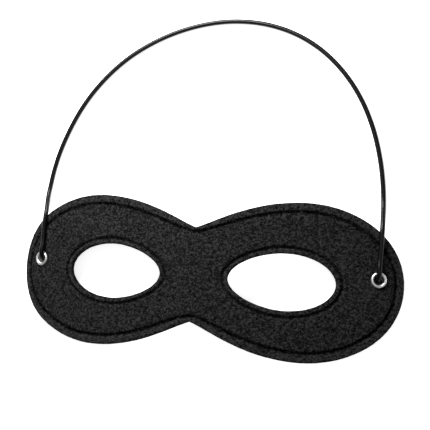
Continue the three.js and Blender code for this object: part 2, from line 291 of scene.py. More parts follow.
def lobed_outline(felt, inset, brow_inset, nose_inset, notch_rise):
    """Closed outline of the two lobes, clockwise from the brow notch, at a distance inside the cut."""
    share = np.arange(LOBE_POINTS) / LOBE_POINTS
    top = felt.lobe_height - inset
    brow, nose = felt.brow_notch - brow_inset, felt.nose_notch - nose_inset
    round_end = felt.half_length - inset - felt.lobe_top
    shoulder = felt.lobe_top - felt.lobe_shoulder
    brow_curve = cubic(
        (0, brow), (felt.notch_run, brow + notch_rise), (shoulder, top), (felt.lobe_top, top), share
    )
    turn = math.pi * (0.5 - np.arange(2 * LOBE_POINTS) / (2 * LOBE_POINTS))
    temple = np.stack([felt.lobe_top + round_end * np.cos(turn), top * np.sin(turn)], axis=1)
    nose_curve = cubic(
        (felt.lobe_top, -top), (shoulder, -top), (felt.notch_run, -nose - notch_rise), (0, -nose), share
    )
    right = np.concatenate([brow_curve, temple, nose_curve, [(0, -nose)]])
    left = right[1:-1][::-1] * (-1, 1)
    return np.concatenate([right, left])


def eye_outline(felt, side, outset, turns):
    """Egg-shaped outline of an eye hole, at a distance outside its edge."""
    power = 2 / felt.eye_roundness
    across, up = (np.sign(way) * np.abs(way) ** power for way in (np.cos(turns), np.sin(turns)))
    u = side * (felt.eye_from_nose + (felt.eye_width + outset) * across)
    v = (felt.eye_height + outset) * up * (1 + felt.eye_egg * across) - felt.eye_drop
    return np.stack([u, v], axis=1)


def closed_length(loop):
    return np.append(0, np.cumsum(np.linalg.norm(np.roll(loop, -1, axis=0) - loop, axis=1)))


def even_places(loop, count):
    """Where along a closed loop count points stand evenly, in steps of the loop's own points."""
    along = closed_length(loop)
    return np.interp(np.arange(count) * along[-1] / count, along, np.arange(len(loop) + 1))


def points_at(loop, places):
    closed = np.concatenate([loop, loop[:1]])
    steps = np.arange(len(closed))
    return np.stack([np.interp(places, steps, closed[:, k]) for k in range(2)], axis=1)


def left_normals(loop):
    """Unit normals of a closed loop, to the left of its direction."""
    along = np.roll(loop, -1, axis=0) - np.roll(loop, 1, axis=0)
    along /= np.linalg.norm(along, axis=1)[:, None]
    return np.stack([-along[:, 1], along[:, 0]], axis=1)


def with_height(flat, height):
    return np.column_stack([flat, np.full(len(flat), height) if np.isscalar(height) else height])


def first_ring(bm, places):
    made = bmesh.ops.create_circle(bm, segments=len(places), radius=1)["verts"]
    for vert, place in zip(made, places):
        vert.co = place
    return list(made)


def ring_edges(bm, ring):
    return [bm.edges.get(pair) for pair in zip(ring, ring[1:] + ring[:1])]


def next_ring(bm, ring, places):
    """Extrudes a ring of edges and sets the new ring on its places."""
    made = bmesh.ops.extrude_edge_only(bm, edges=ring_edges(bm, ring))["geom"]
    new = {item for item in made if isinstance(item, bmesh.types.BMVert)}
    twins = []
    for vert, place in zip(ring, places):
        twin = next(e.other_vert(vert) for e in vert.link_edges if e.other_vert(vert) in new)
        twin.co = place
        twins.append(twin)
    return twins


def ring_rows(bm, ring, rows):
    for places in rows:
        ring = next_ring(bm, ring, places)
    return ring


def mesh_from(bm, name):
    mesh = bpy.data.meshes.new(name)
    bm.to_mesh(mesh)
    bm.free()
    return mesh


def new_object(name, mesh, material):
    made = bpy.data.objects.new(name, mesh)
    bpy.context.scene.collection.objects.link(made)
    mesh.materials.clear()
    mesh.materials.append(material)
    return made


def new_piece(name, shape, material):
    mesh = mesh_from(shape, name) if isinstance(shape, bmesh.types.BMesh) else shape
    piece = new_object(name, mesh, material)
    mesh.shade_smooth()
    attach(piece, "root")
    return piece


class Finish:
    """Node material of one finish, built round its shader."""

    def __init__(self, name, uv_map=None):
        self.material = bpy.data.materials.new(name)
        self.material.use_nodes = True
        self.tree = self.material.node_tree
        self.shader = self.tree.nodes["Principled BSDF"]
        if uv_map:
            self.place = self.node("ShaderNodeUVMap", uv_map=uv_map).outputs[0]
        else:
            self.place = self.node("ShaderNodeTexCoord").outputs["Object"]

    def fill(self, node, inputs):
        """Each input is a socket and its value, or the output that it is linked from."""
        for socket, value in inputs:
            if isinstance(value, bpy.types.NodeSocket):
                self.tree.links.new(value, node.inputs[socket])
            else:
                node.inputs[socket].default_value = value

    def node(self, kind, *inputs, **settings):
        node = self.tree.nodes.new(kind)
        for name, value in settings.items():
            setattr(node, name, value)
        self.fill(node, inputs)
        return node

    def shade(self, *inputs):
        self.fill(self.shader, inputs)

    def noise(self, scale, detail=3, roughness=0.6, place=None):
        inputs = [("Scale", scale), ("Detail", detail), ("Roughness", roughness)]
        inputs.append(("Vector", self.place if place is None else place))
        return self.node("ShaderNodeTexNoise", *inputs).outputs[0]

    def attribute(self, name):
        return self.node("ShaderNodeAttribute", attribute_name=name).outputs["Fac"]

    def spread(self, value, low, high, out_low=0.0, out_high=1.0):
        inputs = enumerate((value, low, high, out_low, out_high))
        return self.node("ShaderNodeMapRange", *inputs).outputs[0]

    def calculate(self, operation, a, b):
        return self.node("ShaderNodeMath", (0, a), (1, b), operation=operation).outputs[0]

    def plus(self, a, b):
        return self.calculate("ADD", a, b)

    def times(self, a, b):
        return self.calculate("MULTIPLY", a, b)

    def blend(self, share, dark, light):
        mix = self.node("ShaderNodeMix", (0, share), (6, dark), (7, light), data_type="RGBA")
        return mix.outputs[2]

    def paint(self, share, dark, light):
        self.shade(("Base Color", self.blend(share, dark, light)))

    def bump(self, strength, distance, height):
        inputs = (("Strength", strength), ("Distance", distance), ("Height", height))
        self.shade(("Normal", self.node("ShaderNodeBump", *inputs).outputs[0]))


def opaque(rgb, share=1):
    """A colour with its alpha, made darker or lighter by a share."""
    return (*(part * share for part in rgb), 1)


def wool_streaks(finish):
    """Short fibres in several directions, from stretched noise."""
    found = None
    for degrees, tilt in ((12, 20), (71, -15), (128, 10), (160, -25)):
        turn = (math.radians(tilt), math.radians(-tilt), math.radians(degrees))
        inputs = (("Vector", finish.place), ("Rotation", turn), ("Scale", (420, 2400, 2400)))
        turned = finish.node("ShaderNodeMapping", *inputs).outputs[0]
        streak = finish.noise(1, 1, place=turned)
        found = streak if found is None else finish.calculate("MAXIMUM", found, streak)
    return found


def felt_finish(colours):
    """Dark and light wool mixed; darker in the grooves (partly pressed felt, partly painted shade) and at
    the cuts (painted shade), with a painted highlight on the rims.
    """
    felt = Finish("heathered_felt")
    blotches, tufts = felt.noise(720, 2, 0.75), felt.noise(1300, 2, 0.8)
    clouds = felt.spread(felt.noise(170), 0.3, 0.7, 0.6, 1.4)
    streaks = felt.spread(wool_streaks(felt), 0.54, 0.72)
    wool = felt.times(felt.spread(felt.plus(blotches, tufts), 0.97, 1.2), clouds)
    light = felt.times(felt.plus(wool, felt.times(streaks, 0.35)), 1.38)
    # Painted highlight: the wool is lightened on the swollen rims between the cut and the groove
    light = felt.times(light, felt.spread(felt.attribute("rim"), 0, 1, 1, 1.6))
    heather = felt.blend(light, opaque(colours.felt_dark), opaque(colours.felt_light))
    ragged = felt.spread(blotches, 0.35, 0.65, 1.5, 0.5)
    pressed = felt.calculate("MINIMUM", felt.times(felt.attribute("groove"), ragged), 1.0)
    # Painted shade, partly the pressed felt: the colour goes towards half the dark wool in the grooves
    # and at the cut edges and walls
    felt.paint(pressed, heather, opaque(colours.felt_dark, 0.5))
    relief = felt.plus(wool, felt.times(felt.noise(2600, 2), 0.6))
    felt.bump(1.0, 0.0004, felt.plus(relief, felt.times(streaks, 0.8)))
    felt.shade(("Roughness", 0.95), ("Specular IOR Level", 0.03))
    return felt.material


def fibre_finish(colours):
    wool = Finish("loose_wool")
    shade = wool.spread(wool.noise(300, 1), 0.35, 0.65)
    wool.paint(shade, opaque(colours.fibre, 0.25), opaque(colours.fibre))
    wool.shade(("Roughness", 0.85), ("Specular IOR Level", 0.2))
    return wool.material


def thread_finish(colours):
    thread = Finish("black_thread")
    twist = thread.noise(4200, 1)
    thread.paint(twist, opaque(colours.thread), opaque(colours.thread, 1.8))
    thread.bump(0.4, 0.00005, twist)
    thread.shade(("Roughness", 0.75), ("Specular IOR Level", 0.06))
    return thread.material


def braid_finish(name, tint, turns, pitch, roughness):
    """Woven cover of a cord: two sets of slanting ribs over its UV map."""
    braid = Finish(name, "round_and_along")
    period = math.tau / 10
    waves = []
    for slant in (1, -1):
        scale = (period * turns, slant * period / pitch, 0)
        turned = braid.node("ShaderNodeMapping", ("Vector", braid.place), ("Scale", scale)).outputs[0]
        inputs = (("Vector", turned), ("Scale", 1.0))
        waves.append(braid.node("ShaderNodeTexWave", *inputs, bands_direction="DIAGONAL").outputs[1])
    ribs = braid.times(*waves)
    braid.paint(ribs, opaque(tint, 0.6), opaque(tint))
    braid.bump(0.35, 0.00004, ribs)
    gloss = braid.spread(ribs, 0, 1, roughness + 0.08, roughness - 0.04)
    braid.shade(("Roughness", gloss), ("Specular IOR Level", 0.2))
    return braid.material


def metal_finish(colours):
    metal = Finish("bright_plate")
    wear = metal.noise(900, 4)
    metal.paint(wear, opaque(colours.metal, 0.86), opaque(colours.metal))
    metal.bump(0.08, 0.00002, wear)
    metal.shade(("Metallic", 1.0), ("Roughness", metal.spread(wear, 0.3, 0.7, 0.34, 0.42)))
    return metal.material


def floor_finish(colours, glow, eyelet_places):
    """A pale top that glows as if lit from below, with painted shade on it under the eyelets where the
    felt covers it.
    """
    floor = Finish("pale_floor")
    grain = floor.spread(floor.noise(900, 2), 0.3, 0.7)
    floor.paint(grain, opaque(colours.floor, 0.995), opaque(colours.floor))
    lit = glow
    # Painted shade: the glow is dimmed under each eyelet
    for place in eyelet_places:
        gap = floor.node("ShaderNodeVectorMath", (0, floor.place), (1, place), operation="DISTANCE")
        lit = floor.times(floor.spread(gap.outputs["Value"], *SHADE_UNDER_EYELET), lit)
    floor.shade(("Emission Color", (1, 1, 1, 1)), ("Emission Strength", lit))
    floor.shade(("Roughness", 0.9), ("Specular IOR Level", 0.1))
    return floor.material


def inside_loops(points, loops):
    """Which points lie inside an odd number of the closed loops."""
    starts = np.concatenate(loops)
    ends = np.concatenate([np.roll(loop, -1, axis=0) for loop in loops])
    rise = ends[:, 1] - starts[:, 1]
    rise = np.where(rise == 0, 1e-12, rise)
    found = []
    for part in np.array_split(points, max(1, len(points) // 3000)):
        u, v = part[:, :1], part[:, 1:]
        between = (starts[:, 1] <= v) != (ends[:, 1] <= v)
        crossing = starts[:, 0] + (v - starts[:, 1]) * (ends[:, 0] - starts[:, 0]) / rise
        found.append((between & (u < crossing)).sum(axis=1) % 2 == 1)
    return np.concatenate(found)


def fill_field(bm, rings, height, spacing, upwards):
    """Fills the flat field between rings of vertices with an even net of triangles."""
    loops = [np.array([v.co[:2] for v in ring]) for ring in rings]
    low, high = loops[0].min(axis=0), loops[0].max(axis=0)
    rows = np.arange(low[1], high[1], spacing * math.sqrt(0.75))
    columns = np.arange(low[0], high[0], spacing)
    net = np.array([(u + spacing / 2 * (i % 2), v) for i, v in enumerate(rows) for u in columns])
    net = net[inside_loops(net, loops)]
    border = tree_of(loops)
    net = [p for p in net if border.find((*p, 0))[2] > 0.6 * spacing]
    verts = [v for ring in rings for v in ring]
    links, first = [], 0
    for loop in loops:
        count = len(loop)
        links += [(first + i, first + (i + 1) % count) for i in range(count)]
        first += count
    flat = [Vector(v.co[:2]) for v in verts] + [Vector(p) for p in net]
    verts += [bm.verts.new((*p, height)) for p in net]
    made = geometry.delaunay_2d_cdt(flat, links, [], 0, 1e-9)
    points, faces, origin = made[0], made[2], made[3]
    middles = np.array([[sum(points[i][k] for i in face) / 3 for k in (0, 1)] for face in faces])
    kept = inside_loops(middles, loops)
    for face, keep in zip(faces, kept):
        if keep:
            corners = [verts[origin[i][0]] for i in face]
            bm.faces.new(corners if upwards else corners[::-1])


def groove_profile(felt):
    """Rows across a groove: offset from its middle and height."""
    half = felt.groove_width / 2
    return [(share * half, -felt.groove_depth * (1 - share**2) ** 1.5) for share in GROOVE_SHARES]


def rounded_rows(radius, turns):
    """Rows over a rounded edge, from the wall inwards: distance from the cut and depth."""
    rows = []
    for degrees in turns:
        turn = math.radians(degrees)
        rows.append((radius * (1 - math.cos(turn)), radius * (1 - math.sin(turn))))
    return rows


class FeltRing:
    """One cut edge of the felt with its groove: rows of points at any distance from the cut."""

    def __init__(self, cut, inward, groove, groove_inward):
        self.cut, self.inward = cut, inward
        self.groove, self.groove_inward = groove, groove_inward

    def near_cut(self, distance):
        return self.cut + self.inward * distance

    def near_groove(self, offset):
        return self.groove + self.groove_inward * offset


def outer_ring(felt):
    cut = lobed_outline(felt, 0, 0, 0, felt.notch_rise)
    groove = lobed_outline(felt, felt.groove_from_edge, felt.groove_brow, felt.groove_nose, 0)
    places = even_places(cut, round(closed_length(cut)[-1] / OUTER_STEP))
    cut, groove = points_at(cut, places), points_at(groove, places)
    return FeltRing(cut, -left_normals(cut), groove, -left_normals(groove))


def eye_ring(felt, side):
    turns = full_turn(EYE_POINTS)
    loop = eye_outline(felt, side, 0, turns)
    count = round(closed_length(loop)[-1] / EYE_STEP)
    turns = even_places(loop, count) * 2 * math.pi / EYE_POINTS
    cut = eye_outline(felt, side, 0, turns)
    groove = eye_outline(felt, side, felt.groove_from_eye, turns)
    return FeltRing(cut, -side * left_normals(cut), groove, -side * left_normals(groove))


def felt_rings(felt):
    """The outer cut and both eye holes, each with its groove."""
    return [outer_ring(felt)] + [eye_ring(felt, side) for _, side in SIDES]


def felt_edge(bm, felt, ring):
    """Wall, rounded edges, rim and groove of one cut edge; gives the inner rings of face and back."""
    thickness, across = felt.thickness, groove_profile(felt)
    front = [with_height(ring.near_cut(d), -h) for d, h in rounded_rows(felt.edge_round, FACE_EDGE_TURNS)]
    rim_start, rim_end = ring.near_cut(felt.edge_round), ring.near_groove(across[0][0])
    for share, height in RIM_SWELL:
        front.append(with_height(rim_start + share * (rim_end - rim_start), height))
    front += [with_height(ring.near_groove(d), h) for d, h in across]
    wall_top, wall_bottom = -felt.edge_round, felt.back_round - thickness
    back = []
    for share in (0.3, 0.6):
        back.append(with_height(ring.cut, wall_top + share * (wall_bottom - wall_top)))
    for distance, height in rounded_rows(felt.back_round, BACK_EDGE_TURNS):
        back.append(with_height(ring.near_cut(distance), height - thickness))
    dent = 0.3 * felt.groove_depth
    for share, height in ((-0.7, 0), (-0.3, dent), (0.3, dent), (0.7, 0)):
        back.append(with_height(ring.near_groove(share * felt.groove_width / 2), height - thickness))
    first = first_ring(bm, front[0])
    return ring_rows(bm, first, front[1:]), ring_rows(bm, first, back)


def eyelet_hole(bm, felt, eyelets, side):
    """Punched hole under an eyelet, its edge pulled down by the rim."""
    centre = np.array((side * (felt.half_length - eyelets.from_end), eyelets.above_middle))
    turns = full_turn(EYELET_HOLE_POINTS)
    ways = np.stack([np.cos(turns), np.sin(turns)], axis=1)
    hole = eyelets.bore + eyelets.wall + eyelets.seat
    rim = eyelets.bore + eyelets.rim_width
    face = ((rim - 0.0003, -0.0003), (rim + 0.0001, -0.0001), (rim + 0.0006, 0.00004), (rim + 0.0012, 0))
    back = ((hole, 0.0003), (rim + 0.0001, 0.0001), (rim + 0.0012, 0))
    face = [with_height(centre + ways * radius, height) for radius, height in face]
    back = [with_height(centre + ways * radius, height - felt.thickness) for radius, height in back]
    first = first_ring(bm, with_height(centre + ways * hole, -0.0004))
    return ring_rows(bm, first, face), ring_rows(bm, first, back)


def tree_of(loops):
    points = np.concatenate(loops)
    tree = KDTree(len(points))
    for i, point in enumerate(points):
        tree.insert((*point, 0), i)
    tree.balance()
    return tree


def mark_felt(bm, felt, rings):
    """Stores the painted shade of the face side in a groove (partly the pressed felt), at a cut edge and
    on the cut walls, and the painted highlight where it is raised between the two.
    """
    groove, rim = bm.verts.layers.float.new("groove"), bm.verts.layers.float.new("rim")
    cuts = tree_of([ring.cut for ring in rings])
    outer_groove, eye_grooves = tree_of([rings[0].groove]), tree_of([ring.groove for ring in rings[1:]])
    reach = 0.52 * felt.groove_width
    for vert in bm.verts:
        flat = (vert.co.x, vert.co.y, 0)
        from_cut = cuts.find(flat)[2]
        if vert.co.z < -felt.edge_round - 0.01 * MM:
            # Painted shade on the cut wall
            vert[groove] = CUT_WALL_SHADE
            continue
        from_groove, pressed = 1.0, 0.0
        for tree, strength in ((outer_groove, OUTER_GROOVE_DARK), (eye_grooves, EYE_GROOVE_DARK)):
            distance = tree.find(flat)[2]
            from_groove = min(from_groove, distance)
            pressed = max(pressed, strength * (1 - (distance / reach) ** 2))
        # Painted shade in the grooves, partly the pressed felt, and along the cut edges
        vert[groove] = max(pressed, CUT_EDGE_SHADE - from_cut / felt.edge_round)
        # Painted highlight on the rim between the cut and the groove
        share = from_cut / max(from_cut + from_groove, 1e-9)
        on_rim = from_cut + from_groove < 1.15 * felt.groove_from_edge
        vert[rim] = 4 * share * (1 - share) * (1 - pressed) if on_rim else 0


class DOMINO_OT_felt(bpy.types.Operator):
    """Cuts the felt with its rounded edges and pressed grooves and bends it over the face"""

    bl_idname = "domino_mask.felt"
    bl_label = "Felt"

    def execute(self, context):
        scene = context.scene
        felt = scene.domino_felt
        bm = bmesh.new()
        rings = felt_rings(felt)
        ends = [felt_edge(bm, felt, ring) for ring in rings]
        ends += [eyelet_hole(bm, felt, scene.domino_eyelets, side) for _, side in SIDES]
        fill_field(bm, [face for face, _ in ends], 0, felt.grain, True)
        fill_field(bm, [back for _, back in ends], -felt.thickness, 2.2 * felt.grain, False)
        mark_felt(bm, felt, rings)
        bmesh.ops.recalc_face_normals(bm, faces=bm.faces)
        if bm.calc_volume(signed=True) < 0:
            raise RuntimeError("the felt came out inside out")
        bm.normal_update()
        for vert in bm.verts:
            place = vert.co / MM
            lump = noise.noise(place * 0.42) + 0.6 * noise.noise(place * 0.95 + Vector((7, 3, 1)))
            vert.co += vert.normal * felt.lumps * lump
        BentSheet(felt).bend(bm)
        piece = new_piece("pressed_felt", bm, felt_finish(scene.domino_colours))
        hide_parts("mask_felt")
        return {"FINISHED"}


def one_stitch(cord, floor_side):
    """Mesh of a stitch along X whose ends dip into the felt."""
    bm = bmesh.new()
    bmesh.ops.create_uvsphere(bm, u_segments=8, v_segments=7, radius=1)
    bmesh.ops.rotate(bm, cent=(0, 0, 0), matrix=Matrix.Rotation(math.pi / 2, 3, "Y"), verts=bm.verts)
    for vert in bm.verts:
        share = min(1.0, abs(vert.co.x))
        across = math.hypot(vert.co.y, vert.co.z) or 1
        thick = cord.thread_radius * (1 - share**3) ** 0.5 / across
        sink = floor_side * 0.28 * MM * share**2
        vert.co = (vert.co.x * cord.stitch_length / 2, vert.co.y * thick, vert.co.z * thick - sink)
    bmesh.ops.recalc_face_normals(bm, faces=bm.faces)
    return mesh_from(bm, "one_stitch")


def add_stitches(bm, cord, loop, height, floor_side):
    """Row of thread stitches along a closed loop of the flat cut."""
    shape = one_stitch(cord, floor_side)
    count = round(closed_length(loop)[-1] / (cord.stitch_length + cord.stitch_gap))
    middles = even_places(loop, count)
    ahead = points_at(loop, (middles + 0.5) % len(loop))
    behind = points_at(loop, (middles - 0.5) % len(loop))
    for middle, way in zip(points_at(loop, middles), ahead - behind):
        stitch = shape.copy()
        turn = Matrix.Rotation(math.atan2(way[1], way[0]) + 0.05, 4, "Z")
        stitch.transform(Matrix.Translation((*middle, height)) @ turn)
        bm.from_mesh(stitch)
        bpy.data.meshes.remove(stitch)
    bpy.data.meshes.remove(shape)


class DOMINO_OT_stitching(bpy.types.Operator):
    """Sews small thread stitches into the pressed grooves, on the face side and on the back"""

    bl_idname = "domino_mask.stitching"
    bl_label = "Stitching"

    def execute(self, context):
        scene = context.scene
        felt, cord = scene.domino_felt, scene.domino_cord
        rings = felt_rings(felt)
        heights = (
            (0.5 * cord.thread_radius - felt.groove_depth, 1),
            (0.3 * felt.groove_depth - felt.thickness - 0.5 * cord.thread_radius, -1),
        )
        bm = bmesh.new()
        for ring in rings:
            for height, floor_side in heights:
                add_stitches(bm, cord, ring.groove, height, floor_side)
        BentSheet(felt).bend(bm)
        new_piece("groove_stitching", bm, thread_finish(scene.domino_colours))
        return {"FINISHED"}


def fibre_spots(scene, draw):
    """Random places on the flat cut for the loose fibres, off the grooves and the eyelets."""
    felt, eyelets, cord = scene.domino_felt, scene.domino_eyelets, scene.domino_cord
    outline = lobed_outline(felt, FIBRE_OFF_CUT, FIBRE_OFF_CUT, FIBRE_OFF_CUT, felt.notch_rise)
    rings = felt_rings(felt)
    holes = [ring.near_cut(FIBRE_OFF_CUT) for ring in rings[1:]]
    keep_clear = tree_of([ring.groove for ring in rings])
    eyelet_u = felt.half_length - eyelets.from_end
    tries = [
        (draw.uniform(-felt.half_length, felt.half_length), draw.uniform(-1, 1) * felt.lobe_height)
        for _ in range(3 * cord.fibres)
    ]
    tries = np.array(tries)
    found = []
    for u, v in tries[inside_loops(tries, [outline, *holes])]:
        near_eyelet = math.hypot(abs(u) - eyelet_u, v - eyelets.above_middle) < FIBRE_OFF_EYELET
        if not near_eyelet and keep_clear.find((u, v, 0))[2] >= FIBRE_OFF_GROOVE:
            found.append((u, v))
    return found[: cord.fibres]


def fibre_points(draw, u, v, base, outwards):
    """Three points of a curled fibre that lies on the face or the back."""
    size, turn = draw.uniform(0.5, 1.5) * MM, draw.uniform(0, 2 * math.pi)
    curl, lift = draw.uniform(-0.9, 0.9), draw.uniform(0.02, 0.16) * MM
    points = []
    for share in (-0.5, 0, 0.5):
        way = turn + curl * share
        height = base + outwards * (lift * (1 - 3.2 * share**2) + 0.00002)
        points.append((u + size * share * math.cos(way), v + size * share * math.sin(way), height))
    return points


class DOMINO_OT_fibres(bpy.types.Operator):
    """Lays loose wool fibres over the felt and lets some stand past its cut edges"""

    bl_idname = "domino_mask.fibres"
    bl_label = "Loose fibres"

    def execute(self, context):
        scene = context.scene
        felt, sheet = scene.domino_felt, BentSheet(scene.domino_felt)
        draw = random.Random(FIBRE_SEED)
        curve = bpy.data.curves.new("loose_fibres", "CURVE")
        curve.dimensions = "3D"
        curve.bevel_depth = FIBRE_RADIUS
        curve.bevel_resolution = 0
        curve.use_fill_caps = True
        spots = fibre_spots(scene, draw)
        for laid, (u, v) in enumerate(spots):
            on_back = laid % FIBRE_ON_BACK == FIBRE_ON_BACK - 1
            base, outwards = (-felt.thickness, -1) if on_back else (0, 1)
            places = sheet.place(fibre_points(draw, u, v, base, outwards))
            spline = curve.splines.new("POLY")
            spline.points.add(2)
            for point, place, radius in zip(spline.points, places, (0.4, 1, 0.4)):
                point.co = (place[0], place[1], max(place[2], 0.00004), 1)
                point.radius = radius
        holder = bpy.data.objects.new("fibre_curves", curve)
        mesh = bpy.data.meshes.new_from_object(holder)
        bpy.data.objects.remove(holder)
        bpy.data.curves.remove(curve)
        if len(mesh.polygons) < len(spots):
            raise RuntimeError("the fibres have no faces")
        mesh.name = "felt_fibres"
        new_piece("felt_fibres", mesh, fibre_finish(scene.domino_colours))
        return {"FINISHED"}


def rolled(middle, base, half_width, height, start, end, steps):
    """Arc of a rolled metal edge, as (radius, height) points."""
    turns = np.radians(np.linspace(start, end, steps + 1))
    return list(zip(middle + half_width * np.cos(turns), base + height * np.sin(turns)))


def eyelet_profile(eyelets, thickness):
    """Closed section through the eyelet's wall: rolled rim, barrel and rolled flange."""
    bore, barrel = eyelets.bore, eyelets.bore + eyelets.wall
    rim = (bore + eyelets.rim_width / 2, eyelets.seat, eyelets.rim_width / 2, eyelets.rim_height)
    flange_base = -thickness - eyelets.seat
    half = (barrel + eyelets.flange_width - bore) / 2
    sheet_metal = 0.5 * eyelets.wall
    points = rolled(*rim, 180, -34, 18)
    inner = (rim[0], rim[1], rim[2] - sheet_metal, rim[3] - sheet_metal)
    points += rolled(*inner, -34, 150, 12)
    points += [(barrel, eyelets.seat), (barrel, flange_base + 0.1 * MM)]
    under = (bore + half, flange_base, half, eyelets.flange_thickness)
    points += rolled(under[0], under[1], half - sheet_metal, under[3] - sheet_metal, 205, 385, 12)
    points += rolled(*under, 390, 180, 16)
    return points


class DOMINO_OT_eyelets(bpy.types.Operator):
    """Turns the two rolled eyelets and sets them into the temples"""

    bl_idname = "domino_mask.eyelets"
    bl_label = "Eyelets"

    def execute(self, context):
        scene = context.scene
        eyelets, felt = scene.domino_eyelets, scene.domino_felt
        sheet = BentSheet(felt)
        material = metal_finish(scene.domino_colours)
        for name, side in SIDES:
            bm = bmesh.new()
            places = [Vector((r, 0, h)) for r, h in eyelet_profile(eyelets, felt.thickness)]
            section = [bm.verts.new(place) for place in places]
            for a, b in zip(section, section[1:] + section[:1]):
                bm.edges.new((a, b))
            bmesh.ops.spin(
                bm, geom=bm.verts[:] + bm.edges[:], cent=(0, 0, 0), axis=(0, 0, 1), angle=math.tau,
                steps=eyelets.steps, use_merge=True,
            )
            bmesh.ops.remove_doubles(bm, verts=bm.verts, dist=0.000001)
            bmesh.ops.recalc_face_normals(bm, faces=bm.faces)
            bmesh.ops.transform(bm, matrix=sheet.eyelet_frame(eyelets, side), verts=bm.verts)
            piece = new_piece(f"rolled_eyelet_{name}", bm, material)
            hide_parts(f"eyelet_{name}")
        return {"FINISHED"}


def spline_points(points, step):
    """Smooth curve through points, as even places about step apart."""
    points = np.asarray(points, float)
    full = np.concatenate([[2 * points[0] - points[1]], points, [2 * points[-1] - points[-2]]])
    fine = []
    for a, b, c, d in zip(full, full[1:], full[2:], full[3:]):
        gaps = [max(np.linalg.norm(q - p), 1e-9) ** 0.5 for p, q in ((a, b), (b, c), (c, d))]
        start = ((b - a) / gaps[0] - (c - a) / (gaps[0] + gaps[1]) + (c - b) / gaps[1]) * gaps[1]
        end = ((c - b) / gaps[1] - (d - b) / (gaps[1] + gaps[2]) + (d - c) / gaps[2]) * gaps[1]
        share = np.linspace(0, 1, CURVE_STEPS, endpoint=False)
        fine.append(cubic(b, b + start / 3, c - end / 3, c, share))
    return even_line(np.concatenate([*fine, points[-1:]]), step)


def even_line(line, step):
    along = np.append(0, np.cumsum(np.linalg.norm(np.diff(line, axis=0), axis=1)))
    at = np.linspace(0, along[-1], max(2, round(along[-1] / step)) + 1)
    return np.stack([np.interp(at, along, line[:, k]) for k in range(3)], axis=1)


def add_tube(bm, line, radii, sides, ripple):
    """Closed tube along a line, with its UV map round and along it."""
    uv = bm.loops.layers.uv.new("round_and_along")
    ways = np.gradient(line, axis=0)
    ways /= np.linalg.norm(ways, axis=1)[:, None]
    side_way = Vector(ways[0]).orthogonal().normalized()
    turns = full_turn(sides)
    ring, along, at = None, 0.0, {}
    for i, (centre, way, radius) in enumerate(zip(line, ways, radii)):
        way = Vector(way)
        side_way = (side_way - side_way.dot(way) * way).normalized()
        up_way = way.cross(side_way)
        along += float(np.linalg.norm(centre - line[max(i - 1, 0)]))
        phase = along / RIB_PITCH * math.pi
        reach = radius * (1 + ripple * np.cos(phase + 3 * turns) * np.cos(phase - 3 * turns))
        places = [
            Vector(centre) + float(r) * (math.cos(t) * side_way + math.sin(t) * up_way)
            for r, t in zip(reach, turns)
        ]
        ring = first_ring(bm, places) if ring is None else next_ring(bm, ring, places)
        if i == 0:
            first = ring
        for j, vert in enumerate(ring):
            at[vert] = (j / sides, along)
    for end in (first, ring):
        bm.faces.new(end)
    bmesh.ops.recalc_face_normals(bm, faces=bm.faces)
    for face in bm.faces:
        for loop in face.loops:
            turn, height = at[loop.vert]
            if turn == 0 and any(at[v][0] > 0.5 for v in face.verts):
                turn = 1
            loop[uv].uv = (turn, height)


def cord_line(scene):
    """Middle of the cord from the left bore to the right one."""
    sheet, eyelets = BentSheet(scene.domino_felt), scene.domino_eyelets
    ends = []
    for (_, side), off in zip(SIDES, CORD_OFF_EYELETS):
        frame_at = sheet.eyelet_frame(eyelets, side)
        ends.append([frame_at @ (Vector((-side * inward, up, out)) * MM) for inward, up, out in off])
    floor = [Vector(point) * MM for point in CORD_ON_FLOOR]
    line = spline_points([*ends[0], *floor, *ends[1][::-1]], 0.25 * MM)
    for _ in range(SMOOTHING_PASSES):
        line[1:-1] = (line[:-2] + 2 * line[1:-1] + line[2:]) / 4
    line[:, 2] = np.maximum(line[:, 2], scene.domino_cord.diameter / 2 + 0.00002)
    return even_line(line, scene.domino_cord.ring_step)


class DOMINO_OT_cord(bpy.types.Operator):
    """Lays the elastic cord from eyelet to eyelet along the floor"""

    bl_idname = "domino_mask.cord"
    bl_label = "Elastic cord"

    def execute(self, context):
        scene = context.scene
        cord = scene.domino_cord
        knots = [bpy.data.objects.get(f"stopper_knot_{name}") for name, _ in SIDES]
        if None in knots:
            raise RuntimeError("the knots are tied before the cord is laid")
        line = cord_line(scene)
        bm = bmesh.new()
        add_tube(bm, line, np.full(len(line), cord.diameter / 2), cord.sides, ripple=0.018)
        tint = scene.domino_colours.cord
        material = braid_finish("elastic_cover", tint, turns=6, pitch=0.0022, roughness=0.28)
        piece = new_piece("laid_cord", bm, material)
        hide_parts("elastic_cord")
        mouth = BentSheet(scene.domino_felt).eyelet_frame(scene.domino_eyelets, -1)
        return {"FINISHED"}


